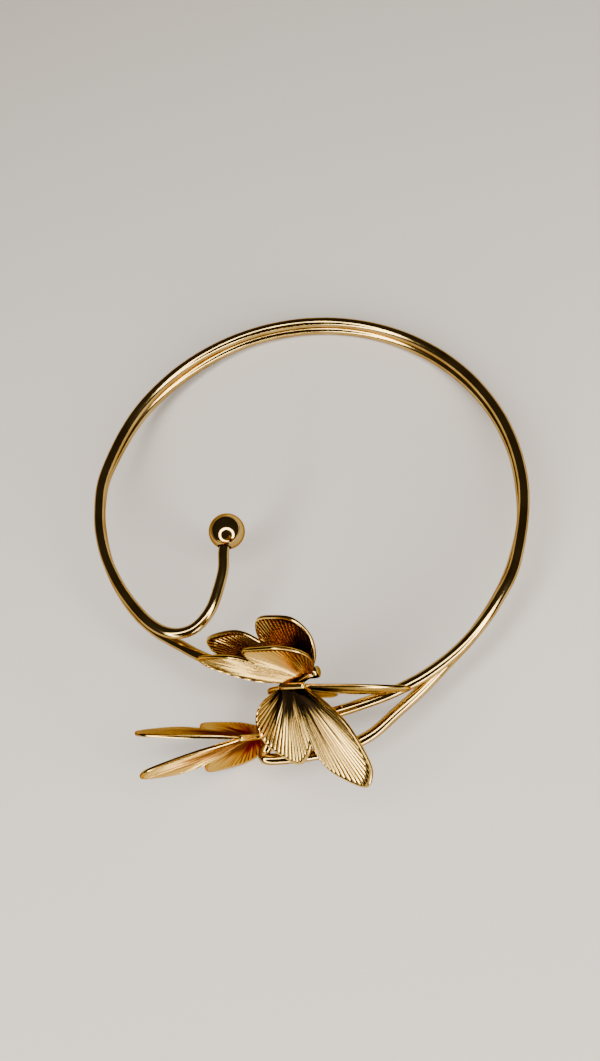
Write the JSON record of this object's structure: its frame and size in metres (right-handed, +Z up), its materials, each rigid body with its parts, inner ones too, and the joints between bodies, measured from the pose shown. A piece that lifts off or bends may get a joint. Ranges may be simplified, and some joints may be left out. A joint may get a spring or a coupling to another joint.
{
  "type": "upper arm cuff",
  "caption": "Open upper arm cuff of round wire bent double, with a hooked end that carries a polished ball and with folded ribbed butterflies at the front.",
  "frame": {"origin": "centre of the bounding box, at the height of the surface that the cuff lies on", "axes": "+Z up as the cuff lies on its side, -Y towards the butterflies, +X towards the side away from the ball"},
  "size_m": [0.086, 0.0987, 0.0371],
  "materials": {
    "gold_wire": "polished",
    "gold_ball": "polished",
    "gold_sheet": "satin"
  },
  "bodies": {
    "root": {"cuff_wire": "gold_wire", "end_ball": "gold_ball", "butterfly_inner": "gold_sheet", "butterfly_middle": "gold_sheet", "butterfly_outer": "gold_sheet"}
  },
  "joints": []
}
